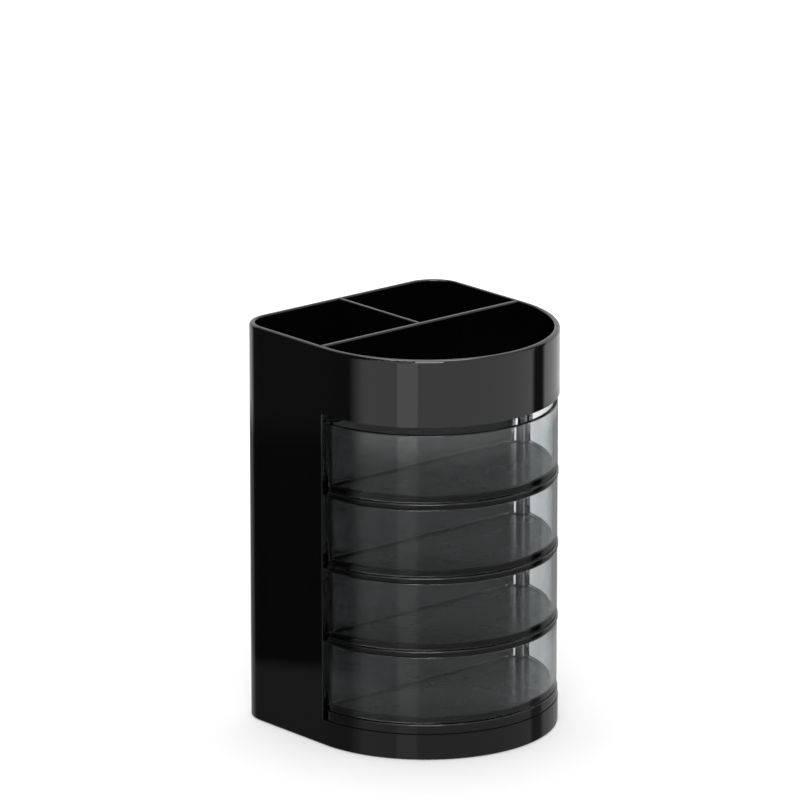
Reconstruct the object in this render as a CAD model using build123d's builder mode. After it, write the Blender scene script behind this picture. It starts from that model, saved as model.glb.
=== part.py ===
"""Desk organizer with a D-shaped housing and four drawers that swing out about one upright rod."""
from build123d import *
import os
from math import sqrt

os.makedirs("parts", exist_ok=True)

# Millimetres. +Z is up, the round front faces -Y, the origin is under the middle of the box.

# Housing
BODY_WIDTH = 90.0
BODY_DEPTH = 91.0
WALL = 2.0
REAR_CORNER_RADIUS = 12.0
RIM_OUTER_ROUNDING = 1.1
RIM_INNER_ROUNDING = 0.5
FOOT_ROUNDING = 0.6
CUP_HEIGHT = 22.9
PLINTH_HEIGHT = 8.9
BAY_HEADROOM = 2.7
SIDE_WALL_END = 0.8
WALL_END_ROUNDING = 0.4

# Upright dividers
CROSS_DIVIDER_SETBACK = 1.9
CROSS_DIVIDER_THICKNESS = 1.8
CENTRE_DIVIDER_THICKNESS = 1.6
DIVIDER_ROUNDING = 0.5

# Fixed plates
BASE_THICKNESS = 2.0
BASE_RECESS = 0.6
BAY_FLOOR_THICKNESS = 3.4
SHELF_THICKNESS = 1.8
SHELF_INSET = 0.2
SHELF_CORNER_RADIUS = 5.0
SHELF_ROUNDING = 0.4
TRAY_FLOOR_THICKNESS = 2.4
PLATE_CLEARANCE = 0.05

# Drawers
DRAWER_COUNT = 4
DRAWER_HEIGHT = 23.3
DRAWER_LIFT = 0.25
DRAWER_TOP_CLEARANCE = 0.25
DRAWER_INSET = 0.5
DRAWER_SETBACK = 0.4
DRAWER_WALL = 1.6
DRAWER_FLOOR = 1.6
DRAWER_CORNER_RADIUS = 3.5
DRAWER_CAVITY_ROUNDING = 1.0
HINGE_POST_RADIUS = 2.2
HINGE_POST_BLEND = 1.5
HINGE_PAD_RADIUS = 3.0
DRAWER_RIM_ROUNDING = 0.3
DRAWER_FOOT_ROUNDING = 0.5

# Hinge rod
ROD_DIAMETER = 2.0
ROD_SEAT_CLEARANCE = 0.02
ROD_RUNNING_CLEARANCE = 0.05
ROD_SEAT_WALL = 2.2
ROD_TOP_DEPTH = 1.6
ROD_END_GAP = 0.2
ROD_CHAMFER = 0.3

# Plan positions
body_radius = BODY_WIDTH / 2
back_y = BODY_DEPTH / 2
arc_y = body_radius - back_y
wall_end_y = arc_y + SIDE_WALL_END
divider_front_y = arc_y + CROSS_DIVIDER_SETBACK
divider_back_y = divider_front_y + CROSS_DIVIDER_THICKNESS
drawer_back_y = arc_y + DRAWER_SETBACK
drawer_radius = body_radius - DRAWER_INSET
rod_y = drawer_back_y - DRAWER_CORNER_RADIUS
rod_x = sqrt((drawer_radius - DRAWER_CORNER_RADIUS) ** 2 - (rod_y - arc_y) ** 2)
rod_radius = ROD_DIAMETER / 2

# Heights
base_top = BASE_RECESS + BASE_THICKNESS
bay_floor_top = PLINTH_HEIGHT + BAY_FLOOR_THICKNESS
slot_height = DRAWER_LIFT + DRAWER_HEIGHT + DRAWER_TOP_CLEARANCE
shelf_pitch = slot_height + SHELF_THICKNESS
cup_bottom = bay_floor_top + DRAWER_COUNT * shelf_pitch - SHELF_THICKNESS + BAY_HEADROOM
body_height = cup_bottom + CUP_HEIGHT
rod_bottom = base_top + ROD_END_GAP
rod_top = cup_bottom + ROD_TOP_DEPTH - ROD_END_GAP


def half_moon(radius, back, corner_radius):
    """Disc about the arc's centre, cut flat at the back, with the two rear corners rounded."""
    with BuildSketch() as moon:
        with Locations((0, arc_y)):
            Circle(radius)
        with Locations((0, back)):
            Rectangle(2 * radius, 2 * radius, align=(Align.CENTER, Align.MIN), mode=Mode.SUBTRACT)
        fillet(moon.vertices().group_by(Axis.Y)[-1], corner_radius)
    return moon.sketch


with BuildSketch() as body_outline:
    with BuildLine():
        front = CenterArc((0, arc_y), body_radius, 180, 180)
        Polyline(front @ 1, (body_radius, back_y), (-body_radius, back_y), front @ 0)
    make_face()
    fillet(body_outline.vertices().group_by(Axis.Y)[-1], REAR_CORNER_RADIUS)

with BuildSketch() as cavity_outline:
    add(body_outline.sketch)
    offset(amount=-WALL)

with BuildSketch() as lining_outline:
    add(cavity_outline.sketch)
    offset(amount=-PLATE_CLEARANCE)

# Housing: one wall all round, with the drawer bay's window cut out of its round front
with BuildPart() as housing_shell:
    with BuildSketch():
        add(body_outline.sketch)
        add(cavity_outline.sketch, mode=Mode.SUBTRACT)
    extrude(amount=body_height)
    with BuildSketch(Plane.XY.offset(PLINTH_HEIGHT)):
        with Locations((0, wall_end_y)):
            Rectangle(BODY_WIDTH, BODY_DEPTH, align=(Align.CENTER, Align.MAX))
    extrude(amount=cup_bottom - PLINTH_HEIGHT, mode=Mode.SUBTRACT)
    wall_ends = housing_shell.faces().filter_by(Axis.Y).group_by(Axis.Y)[0]
    fillet(wall_ends.edges().filter_by(Axis.Z), WALL_END_ROUNDING)
    rim = housing_shell.faces().sort_by(Axis.Z)[-1]
    fillet(rim.outer_wire().edges(), RIM_OUTER_ROUNDING)
    rim = housing_shell.faces().sort_by(Axis.Z)[-1]
    fillet(rim.inner_wires()[0].edges(), RIM_INNER_ROUNDING)
    foot = housing_shell.faces().sort_by(Axis.Z)[0]
    fillet(foot.outer_wire().edges(), FOOT_ROUNDING)

# Cross divider: from side wall to side wall, flush with the rim
with BuildPart() as cross_divider:
    with BuildSketch(Plane.XY.offset(base_top)):
        with Locations((0, divider_front_y)):
            Rectangle(
                BODY_WIDTH - 2 * (WALL + PLATE_CLEARANCE),
                CROSS_DIVIDER_THICKNESS,
                align=(Align.CENTER, Align.MIN),
            )
    extrude(amount=body_height - base_top)
    top_face = cross_divider.faces().sort_by(Axis.Z)[-1]
    fillet(top_face.edges().filter_by(Axis.X), DIVIDER_ROUNDING)

# Centre divider: from the cross divider to the back wall
with BuildPart() as centre_divider:
    with BuildSketch(Plane.XY.offset(base_top)):
        with Locations((0, divider_back_y)):
            Rectangle(
                CENTRE_DIVIDER_THICKNESS,
                back_y - WALL - PLATE_CLEARANCE - divider_back_y,
                align=(Align.CENTER, Align.MIN),
            )
    extrude(amount=body_height - base_top)
    top_face = centre_divider.faces().sort_by(Axis.Z)[-1]
    fillet(top_face.edges().filter_by(Axis.Y), DIVIDER_ROUNDING)

# Base plate: closes the underside, and its post holds the foot of the rod
with BuildPart() as base_plate:
    with BuildSketch(Plane.XY.offset(BASE_RECESS)):
        add(lining_outline.sketch)
    extrude(amount=BASE_THICKNESS)
    with BuildSketch(Plane.XY.offset(base_top)):
        with Locations((rod_x, rod_y)):
            Circle(rod_radius + ROD_SEAT_WALL)
        add(lining_outline.sketch, mode=Mode.INTERSECT)
        with Locations((rod_x, rod_y)):
            Circle(rod_radius + ROD_SEAT_CLEARANCE, mode=Mode.SUBTRACT)
    extrude(amount=PLINTH_HEIGHT - base_top)

# Tray floor: fills the cup band in front of the cross divider, blind seat for the rod below
with BuildPart() as tray_floor:
    with BuildSketch(Plane.XY.offset(cup_bottom)):
        add(lining_outline.sketch)
        with Locations((0, divider_front_y)):
            Rectangle(BODY_WIDTH, BODY_DEPTH, align=(Align.CENTER, Align.MIN), mode=Mode.SUBTRACT)
    extrude(amount=TRAY_FLOOR_THICKNESS)
    with BuildSketch(Plane.XY.offset(cup_bottom)):
        with Locations((rod_x, rod_y)):
            Circle(rod_radius + ROD_SEAT_CLEARANCE)
    extrude(amount=ROD_TOP_DEPTH, mode=Mode.SUBTRACT)

# Fixed half-moon plates, bored for the rod
plate_outline = half_moon(body_radius - SHELF_INSET, divider_front_y, SHELF_CORNER_RADIUS)


def fixed_plate(bottom, thickness):
    """Half-moon plate with a softened front edge and a seat for the rod."""
    with BuildPart() as plate:
        with BuildSketch(Plane.XY.offset(bottom)):
            add(plate_outline)
            with Locations((rod_x, rod_y)):
                Circle(rod_radius + ROD_SEAT_CLEARANCE, mode=Mode.SUBTRACT)
        extrude(amount=thickness)
        for face in (plate.faces().sort_by(Axis.Z)[0], plate.faces().sort_by(Axis.Z)[-1]):
            front_edge = face.outer_wire().edges().sort_by(Axis.Y)[:-1]
            fillet(front_edge, SHELF_ROUNDING)
    return plate.part


shelf_names = ["shelf_lower", "shelf_middle", "shelf_upper"]
bay_floor = fixed_plate(PLINTH_HEIGHT, BAY_FLOOR_THICKNESS)
shelves = [
    fixed_plate(bay_floor_top + slot_height + shelf_pitch * level, SHELF_THICKNESS)
    for level in range(DRAWER_COUNT - 1)
]

# Hinge rod: from the base plate's post up into the tray floor
with BuildPart() as hinge_rod:
    with BuildSketch(Plane.XY.offset(rod_bottom)):
        with Locations((rod_x, rod_y)):
            Circle(rod_radius)
    extrude(amount=rod_top - rod_bottom)
    chamfer(hinge_rod.edges().filter_by(GeomType.CIRCLE), ROD_CHAMFER)

# Drawers: open half-moon boxes that turn on a bored post in their right rear corner
drawer_outline = half_moon(drawer_radius, drawer_back_y, DRAWER_CORNER_RADIUS)
with BuildSketch() as drawer_cavity_outline:
    add(
        half_moon(
            drawer_radius - DRAWER_WALL,
            drawer_back_y - DRAWER_WALL,
            DRAWER_CORNER_RADIUS - DRAWER_WALL,
        )
    )
    with Locations((rod_x, rod_y)):
        Circle(HINGE_POST_RADIUS, mode=Mode.SUBTRACT)
    post_corners = drawer_cavity_outline.vertices().sort_by_distance((rod_x, rod_y, 0))[:2]
    fillet(post_corners, HINGE_POST_BLEND)


def drawer(seat):
    """Drawer whose hinge post stands on the plate at the given height."""
    underside = seat + DRAWER_LIFT
    with BuildPart() as box:
        with BuildSketch(Plane.XY.offset(underside)):
            add(drawer_outline)
        extrude(amount=DRAWER_HEIGHT)
        fillet(box.faces().sort_by(Axis.Z)[0].edges(), DRAWER_FOOT_ROUNDING)
        with BuildSketch(Plane.XY.offset(underside + DRAWER_FLOOR)):
            add(drawer_cavity_outline.sketch)
        extrude(amount=DRAWER_HEIGHT - DRAWER_FLOOR, mode=Mode.SUBTRACT)
        cavity_floor = box.faces().filter_by(Plane.XY).group_by(Axis.Z)[1]
        fillet(cavity_floor.edges(), DRAWER_CAVITY_ROUNDING)
        fillet(box.faces().sort_by(Axis.Z)[-1].edges(), DRAWER_RIM_ROUNDING)
        with BuildSketch(Plane.XY.offset(seat)):
            with Locations((rod_x, rod_y)):
                Circle(HINGE_PAD_RADIUS)
        extrude(amount=DRAWER_LIFT)
        with BuildSketch(Plane.XY.offset(seat)):
            with Locations((rod_x, rod_y)):
                Circle(rod_radius + ROD_RUNNING_CLEARANCE)
        extrude(amount=DRAWER_LIFT + DRAWER_HEIGHT, mode=Mode.SUBTRACT)
    return box.part


drawer_names = ["drawer_bottom", "drawer_lower", "drawer_upper", "drawer_top"]
drawers = [drawer(bay_floor_top + shelf_pitch * level) for level in range(DRAWER_COUNT)]

pieces = {
    "housing_shell": housing_shell.part,
    "cross_divider": cross_divider.part,
    "centre_divider": centre_divider.part,
    "base_plate": base_plate.part,
    "tray_floor": tray_floor.part,
    "bay_floor": bay_floor,
    "hinge_rod": hinge_rod.part,
}
pieces.update(zip(shelf_names, shelves))
pieces.update(zip(drawer_names, drawers))

for name, piece in pieces.items():
    piece.label = name
    export_step(piece, f"parts/{name}.step")
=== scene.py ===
"""Studio scene for the desk organizer: glossy black housing, clear smoke drawers, steel hinge rod."""
from math import cos, radians, sin

import bmesh
import bpy
from mathutils import Matrix, Vector

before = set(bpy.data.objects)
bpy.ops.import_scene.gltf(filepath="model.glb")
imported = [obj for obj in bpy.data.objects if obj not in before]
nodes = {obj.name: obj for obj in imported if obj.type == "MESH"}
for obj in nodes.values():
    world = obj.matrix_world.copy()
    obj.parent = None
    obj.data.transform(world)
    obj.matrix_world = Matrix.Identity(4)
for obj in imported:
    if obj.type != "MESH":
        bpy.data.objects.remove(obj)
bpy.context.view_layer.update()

MM = 0.001
drawer_names = ["drawer_bottom", "drawer_lower", "drawer_upper", "drawer_top"]
black_names = [
    "housing_shell", "cross_divider", "centre_divider", "base_plate", "tray_floor",
    "bay_floor", "shelf_lower", "shelf_middle", "shelf_upper",
]


# ---------------------------------------------------------------- materials

def srgb(code):
    """Linear colour, with alpha 1, of an sRGB hex code."""
    channels = [int(code[i:i + 2], 16) / 255 for i in (1, 3, 5)]
    return [c / 12.92 if c <= 0.04045 else ((c + 0.055) / 1.055) ** 2.4 for c in channels] + [1.0]


def node(tree, kind, settings=None, **links):
    """Adds a node, sets its values by socket name and links its sockets."""
    made = tree.nodes.new(kind)
    for name, value in (settings or {}).items():
        if name in made.inputs:
            made.inputs[name].default_value = value
        else:
            setattr(made, name, value)
    for name, source in links.items():
        tree.links.new(source, made.inputs[name.replace("_", " ")])
    return made


def surface(name):
    """Empty material with its Principled shader and Object coordinates."""
    material = bpy.data.materials.new(name)
    material.use_nodes = True
    tree = material.node_tree
    tree.nodes.clear()
    output = node(tree, "ShaderNodeOutputMaterial")
    shader = node(tree, "ShaderNodeBsdfPrincipled")
    tree.links.new(shader.outputs["BSDF"], output.inputs["Surface"])
    place = node(tree, "ShaderNodeTexCoord").outputs["Object"]
    return material, tree, shader, place


def ray_kinds(tree):
    """Two switches: rays of the lens or through clear plastic, and paths that met a gloss on the way."""
    path = node(tree, "ShaderNodeLightPath")
    seen = node(tree, "ShaderNodeMath", {"operation": "MAXIMUM"})
    tree.links.new(path.outputs["Is Camera Ray"], seen.inputs[0])
    tree.links.new(path.outputs["Is Transmission Ray"], seen.inputs[1])
    mirrored = node(tree, "ShaderNodeMath", {"operation": "GREATER_THAN"})
    tree.links.new(path.outputs["Glossy Depth"], mirrored.inputs[0])
    return seen.outputs[0], mirrored.outputs[0]


def per_mm(size):
    """Texture scale at which one feature is this many millimetres long."""
    return 1 / (size * MM)


def level_faces(tree):
    """1 on faces that look straight up or down, 0 on walls and rounded edges."""
    normal = node(tree, "ShaderNodeNewGeometry").outputs["True Normal"]
    upright = node(tree, "ShaderNodeSeparateXYZ", Vector=normal).outputs["Z"]
    upward = node(tree, "ShaderNodeMath", {"operation": "ABSOLUTE"})
    tree.links.new(upright, upward.inputs[0])
    return node(
        tree, "ShaderNodeMapRange", {"From Min": 0.97, "From Max": 0.995}, Value=upward.outputs[0]).outputs[0]


def roughness_of(tree, shader, place, speck, walls, floors):
    """Sets two roughness ranges with a fine haze, one for walls and one for level faces."""
    noise = node(tree, "ShaderNodeTexNoise", {"Scale": per_mm(speck), "Detail": 5.0}, Vector=place)
    spans = [
        node(
            tree, "ShaderNodeMapRange",
            {"From Min": 0.35, "From Max": 0.75, "To Min": low, "To Max": high},
            Value=noise.outputs["Fac"]).outputs[0]
        for low, high in (walls, floors)
    ]
    choice = node(tree, "ShaderNodeMix")
    tree.links.new(level_faces(tree), choice.inputs[0])
    tree.links.new(spans[0], choice.inputs[2])
    tree.links.new(spans[1], choice.inputs[3])
    tree.links.new(choice.outputs[0], shader.inputs["Roughness"])


def relief(tree, shader, place, *layers):
    """Bump from noise layers, each (size in mm, depth in mm, detail), added one on another."""
    normal = None
    for size, depth, detail in layers:
        noise = node(tree, "ShaderNodeTexNoise", {"Scale": per_mm(size), "Detail": detail}, Vector=place)
        bump = node(
            tree, "ShaderNodeBump", {"Strength": 1.0, "Distance": depth * MM}, Height=noise.outputs["Fac"])
        if normal:
            tree.links.new(normal, bump.inputs["Normal"])
        normal = bump.outputs["Normal"]
    tree.links.new(normal, shader.inputs["Normal"])


def moulded_black_styrene():
    """High-gloss black polystyrene from a polished tool: near-mirror walls with a slow waviness
    from cooling, and level faces that the tool left satin."""
    material, tree, shader, place = surface("moulded_black_styrene")
    shader.inputs["Base Color"].default_value = srgb("#050506")
    shader.inputs["IOR"].default_value = 1.55
    roughness_of(tree, shader, place, 9, (0.03, 0.06), (0.27, 0.29))
    relief(tree, shader, place, (28, 0.01, 1.0))
    return material


def clear_smoke_styrene():
    """Transparent smoke-grey polystyrene: polished walls with flow waves, and a floor that the
    tool left faintly frosted, so that it takes light softly."""
    material, tree, shader, place = surface("clear_smoke_styrene")
    shader.inputs["Base Color"].default_value = srgb("#e2e5e6")
    shader.inputs["IOR"].default_value = 1.57
    shader.inputs["Transmission Weight"].default_value = 1.0
    roughness_of(tree, shader, place, 6, (0.01, 0.03), (0.13, 0.17))
    relief(tree, shader, place, (24, 0.006, 1.0))
    return material


def drawn_steel():
    """Cold-drawn steel wire: fine lines along its length."""
    material, tree, shader, place = surface("drawn_steel")
    shader.inputs["Base Color"].default_value = srgb("#9a9c9e")
    shader.inputs["Metallic"].default_value = 1.0
    stretch = node(tree, "ShaderNodeMapping", {"Scale": (1, 1, 0.02)}, Vector=place)
    lines = node(
        tree, "ShaderNodeTexNoise", {"Scale": per_mm(0.25), "Detail": 2.0}, Vector=stretch.outputs["Vector"])
    rough = node(tree, "ShaderNodeMapRange", {"To Min": 0.18, "To Max": 0.36}, Value=lines.outputs["Fac"])
    tree.links.new(rough.outputs["Result"], shader.inputs["Roughness"])
    return material


def dress(names, material):
    """Gives each named CAD node this one material."""
    for name in names:
        nodes[name].data.materials.clear()
        nodes[name].data.materials.append(material)


dress(black_names, moulded_black_styrene())
dress(drawer_names, clear_smoke_styrene())
dress(["hinge_rod"], drawn_steel())


# ---------------------------------------------------------------- camera

CAMERA_AZIMUTH = radians(-40.8)
CAMERA_ELEVATION = radians(16.13)
CAMERA_DISTANCE = 2360.5  # mm
LENS = 315  # mm
SENSOR = 36
AIM = (0, -0.5, 69.2)  # mm, about the middle of the organizer
OFF_CENTRE = (-8.6, 41.3)  # mm, the lens axis from there, to the right and up


def camera():
    """Long-lens view from the front left, matched to the photograph."""
    right = Vector((cos(CAMERA_AZIMUTH), sin(CAMERA_AZIMUTH), 0))
    level_back = Vector((sin(CAMERA_AZIMUTH), -cos(CAMERA_AZIMUTH), 0))
    back = level_back * cos(CAMERA_ELEVATION) + Vector((0, 0, sin(CAMERA_ELEVATION)))
    up = back.cross(right)
    place = Vector(AIM) + right * OFF_CENTRE[0] + up * OFF_CENTRE[1] + back * CAMERA_DISTANCE
    data = bpy.data.cameras.new("camera")
    data.lens = LENS
    data.sensor_width = SENSOR
    data.clip_start = 0.1
    data.clip_end = 50
    shot = bpy.data.objects.new("camera", data)
    shot.matrix_world = Matrix.Translation(place * MM) @ Matrix((right, up, back)).transposed().to_4x4()
    bpy.context.scene.collection.objects.link(shot)
    bpy.context.scene.camera = shot


camera()


# ---------------------------------------------------------------- studio

FLOOR_SIZE = 12  # m
FLOOR_GAP = 0.2 * MM
SHADOW_REACH = (110 * MM, 450 * MM)  # distances between which the floor turns plain white
SHADOW_LIFT = (0.34, 0.6)  # light added to the floor at those distances
DARK_REFLECTION_REACH = (380 * MM, 430 * MM)  # where the painted darkening of the floor's reflection ends in gloss
DARK_REFLECTION_LEVEL = 0.3
FOOT_GLOW_REACH = (110 * MM, 125 * MM)  # where the painted glow in the floor's reflection beside the object's foot ends
FOOT_GLOW_LEVEL = 0.1


def floor(material):
    """Level square under the object, a hair below its resting face."""
    mesh = bpy.data.meshes.new("floor")
    quad = bmesh.new()
    bmesh.ops.create_grid(quad, x_segments=1, y_segments=1, size=FLOOR_SIZE / 2)
    bmesh.ops.translate(quad, vec=(0, 0, -FLOOR_GAP), verts=quad.verts)
    quad.to_mesh(mesh)
    quad.free()
    mesh.materials.append(material)
    sheet = bpy.data.objects.new("floor", mesh)
    bpy.context.scene.collection.objects.link(sheet)


def white_sweep():
    """White sweep: takes the soft shadow, and is plain white to the lens and through clear plastic.
    In gloss it lets the tent show, with a painted reflection: dimmed to grey near the object, and with a faint
    painted glow right beside the object's foot."""
    material = bpy.data.materials.new("white_sweep")
    material.use_nodes = True
    tree = material.node_tree
    tree.nodes.clear()
    seen, mirrored = ray_kinds(tree)
    place = node(tree, "ShaderNodeTexCoord").outputs["Object"]
    reach = node(tree, "ShaderNodeVectorMath", {"operation": "LENGTH"})
    tree.links.new(place, reach.inputs[0])
    fade = node(
        tree, "ShaderNodeMapRange",
        {"From Min": SHADOW_REACH[0], "From Max": SHADOW_REACH[1],
         "To Min": SHADOW_LIFT[0], "To Max": SHADOW_LIFT[1]}, Value=reach.outputs["Value"])
    lift = node(tree, "ShaderNodeMath", {"operation": "MULTIPLY"})
    tree.links.new(seen, lift.inputs[0])
    tree.links.new(fade.outputs["Result"], lift.inputs[1])
    paper = node(tree, "ShaderNodeBsdfDiffuse", {"Color": srgb("#c8c8c8")})
    glow = node(tree, "ShaderNodeEmission", Strength=lift.outputs[0])
    both = node(tree, "ShaderNodeAddShader")
    tree.links.new(paper.outputs[0], both.inputs[0])
    tree.links.new(glow.outputs[0], both.inputs[1])
    # Painted dark reflection: glossy rays see the floor dimmed to grey near the object.
    dim = node(
        tree, "ShaderNodeMapRange",
        {"From Min": DARK_REFLECTION_REACH[0], "From Max": DARK_REFLECTION_REACH[1], "To Min": DARK_REFLECTION_LEVEL}, Value=reach.outputs["Value"])
    clear = node(tree, "ShaderNodeBsdfTransparent", Color=dim.outputs["Result"])
    # Painted glow in reflections: the floor right beside the object's foot glows faintly to glossy rays.
    foot_glow_fade = node(
        tree, "ShaderNodeMapRange",
        {"From Min": FOOT_GLOW_REACH[0], "From Max": FOOT_GLOW_REACH[1],
         "To Min": FOOT_GLOW_LEVEL, "To Max": 0.0}, Value=reach.outputs["Value"])
    painted_foot_glow = node(tree, "ShaderNodeEmission", Strength=foot_glow_fade.outputs["Result"])
    painted_reflection = node(tree, "ShaderNodeAddShader")
    tree.links.new(clear.outputs[0], painted_reflection.inputs[0])
    tree.links.new(painted_foot_glow.outputs[0], painted_reflection.inputs[1])
    choice = node(tree, "ShaderNodeMixShader", Fac=mirrored)
    tree.links.new(both.outputs[0], choice.inputs[1])
    tree.links.new(painted_reflection.outputs[0], choice.inputs[2])
    output = node(tree, "ShaderNodeOutputMaterial")
    tree.links.new(choice.outputs[0], output.inputs["Surface"])
    return material


def softbox(name, place, aim, width, height, watts):
    """Rectangular lamp at a place, turned to an aim, in metres and watts."""
    data = bpy.data.lights.new(name, "AREA")
    data.shape = "RECTANGLE"
    data.size, data.size_y = width, height
    data.energy = watts
    lamp = bpy.data.objects.new(name, data)
    turn = (Vector(place) - Vector(aim)).to_track_quat("Z", "Y").to_matrix().to_4x4()
    lamp.matrix_world = Matrix.Translation(place) @ turn
    bpy.context.scene.collection.objects.link(lamp)


# What gloss mirrors all round: a pale tent of one level with two black flags. A flag is its compass
# direction, its width and the width of its soft edge, in degrees.
TENT_LEVEL = 0.9
FLAG_LEVEL = 0.05
FILL_LEVEL = 0.6  # the world's plain light on the object
FLAGS = [(-17, 12, 5), (135, 50, 15)]


def light_tent():
    """World: white to the lens and through clear plastic, the tent in gloss, a plain fill elsewhere."""
    sky = bpy.data.worlds.new("light_tent")
    sky.use_nodes = True
    tree = sky.node_tree
    tree.nodes.clear()
    outward = node(tree, "ShaderNodeTexCoord").outputs["Generated"]
    compass = node(tree, "ShaderNodeTexGradient", {"gradient_type": "RADIAL"}, Vector=outward)
    walls = node(tree, "ShaderNodeValToRGB", Fac=compass.outputs["Fac"])
    stops = walls.color_ramp.elements
    stops[0].color = stops[1].color = (TENT_LEVEL, TENT_LEVEL, TENT_LEVEL, 1)
    for azimuth, width, edge in FLAGS:
        for side in (-1, 1):
            for reach, level in ((width / 2, FLAG_LEVEL), (width / 2 + edge, TENT_LEVEL)):
                stop = stops.new((azimuth + side * reach) / 360 + 0.5)
                stop.color = (level, level, level, 1)
    seen, mirrored = ray_kinds(tree)
    plain = node(tree, "ShaderNodeMapRange", {"To Min": FILL_LEVEL, "To Max": 1.0}, Value=seen)
    strength = node(tree, "ShaderNodeMix")
    tree.links.new(mirrored, strength.inputs[0])
    tree.links.new(plain.outputs["Result"], strength.inputs[2])
    tree.links.new(walls.outputs["Color"], strength.inputs[3])
    light = node(tree, "ShaderNodeBackground", {"Color": (1, 1, 1, 1)}, Strength=strength.outputs[0])
    output = node(tree, "ShaderNodeOutputWorld")
    tree.links.new(light.outputs[0], output.inputs["Surface"])
    bpy.context.scene.world = sky


light_tent()
floor(white_sweep())
softbox("key", (-1.1, -1.3, 1.5), (0, 0, 0.07), 1.0, 1.0, 22)
softbox("top", (0.2, 0.3, 1.9), (0, 0, 0), 1.2, 1.2, 20)
# Three upright strips on one spot, so that the band they make in gloss is bright in its middle.
STRIP_PLACE, STRIP_AIM = (-1.25, -0.83, 0.1), (0, 0, 0.1)
STRIP_HEIGHT = 2.4
STRIP_WATTS_PER_METRE = 3.8  # of width
for layer, width in (("core", 0.16), ("middle", 0.3), ("edge", 0.46)):
    softbox("strip_" + layer, STRIP_PLACE, STRIP_AIM, width, STRIP_HEIGHT, STRIP_WATTS_PER_METRE * width)

bpy.context.scene.view_settings.view_transform = "Standard"
